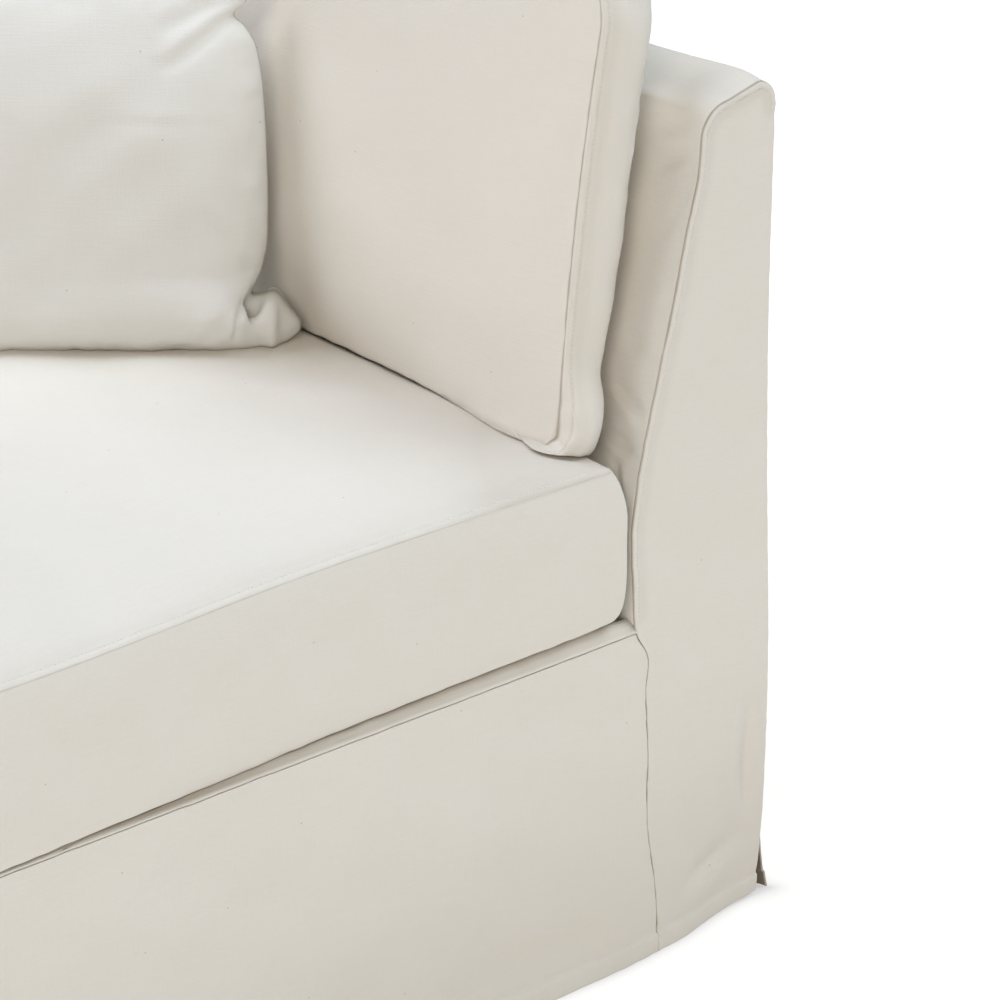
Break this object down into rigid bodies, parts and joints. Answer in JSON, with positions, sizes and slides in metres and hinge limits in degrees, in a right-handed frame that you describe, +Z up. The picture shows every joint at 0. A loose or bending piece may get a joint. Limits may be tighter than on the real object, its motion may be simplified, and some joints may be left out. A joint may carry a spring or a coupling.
{
  "type": "sofa slipcover",
  "caption": "Loose fitted cover set for the corner unit of a sofa: hollow skirted base, two raked backs, boxed seat and back cushions and a knife-edge pillow.",
  "frame": {"origin": "on the floor, under the middle of the cover's box", "axes": "+X towards the right back's outside, +Y towards the rear back's outside, +Z up; the front (-Y) and the left side (-X) are open"},
  "size_m": [1.0005, 0.9311, 0.9352],
  "materials": {
    "woven_cloth": "matt woven cotton and linen, off-white"
  },
  "bodies": {
    "root": {"front_panel": "woven_cloth", "left_base_panel": "woven_cloth", "right_end_panel": "woven_cloth", "left_end_panel": "woven_cloth", "right_outside_panel": "woven_cloth", "rear_outside_panel": "woven_cloth", "right_inside_back": "woven_cloth", "rear_inside_back": "woven_cloth", "deck_panel": "woven_cloth", "seat_cushion": "woven_cloth", "back_cushion": "woven_cloth", "corner_pillow": "woven_cloth"}
  },
  "joints": []
}
